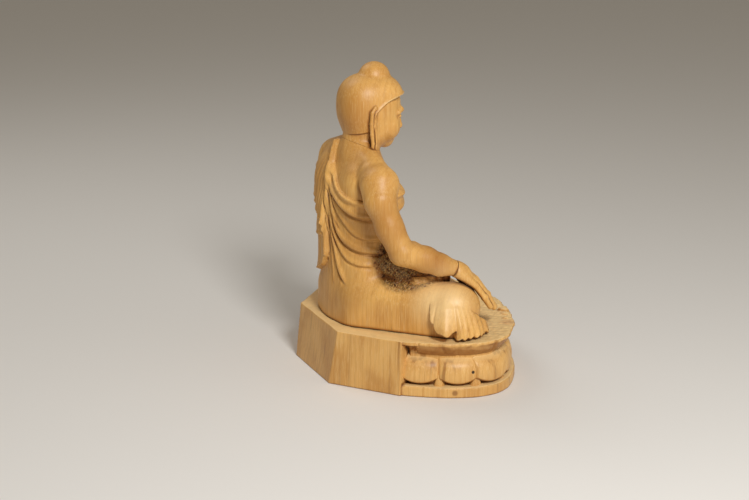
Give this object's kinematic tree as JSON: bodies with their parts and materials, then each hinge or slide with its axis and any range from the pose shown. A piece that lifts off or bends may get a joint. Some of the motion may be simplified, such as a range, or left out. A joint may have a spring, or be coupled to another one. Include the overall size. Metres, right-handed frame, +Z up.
{
  "type": "seated buddha statue",
  "caption": "Carved wooden seated Buddha in the earth-touching pose on a lotus pedestal with a plain faceted back.",
  "frame": {"origin": "middle of the pedestal's footprint, on the surface that the statue stands on", "axes": "+Z up, the figure faces -Y and its right side is -X"},
  "size_m": [0.181, 0.132, 0.2],
  "materials": {
    "carved_boxwood": "satin, hand-carved and lightly waxed",
    "hardwood_dowel": "plain turned",
    "dark_glue": "dried glue, dull"
  },
  "bodies": {
    "root": {"lotus_pedestal": "carved_boxwood", "trunk": "carved_boxwood", "leg_block": "carved_boxwood", "head": "carved_boxwood", "right_arm": "carved_boxwood", "right_hand": "carved_boxwood", "left_arm": "carved_boxwood", "left_hand": "carved_boxwood", "neck_dowel": "hardwood_dowel", "right_shoulder_dowels": "hardwood_dowel", "left_shoulder_dowels": "hardwood_dowel", "right_wrist_dowel": "hardwood_dowel", "left_wrist_dowel": "hardwood_dowel", "leg_block_dowels": "hardwood_dowel", "pedestal_dowels": "hardwood_dowel", "wrist_glue_line": "dark_glue"}
  },
  "joints": []
}
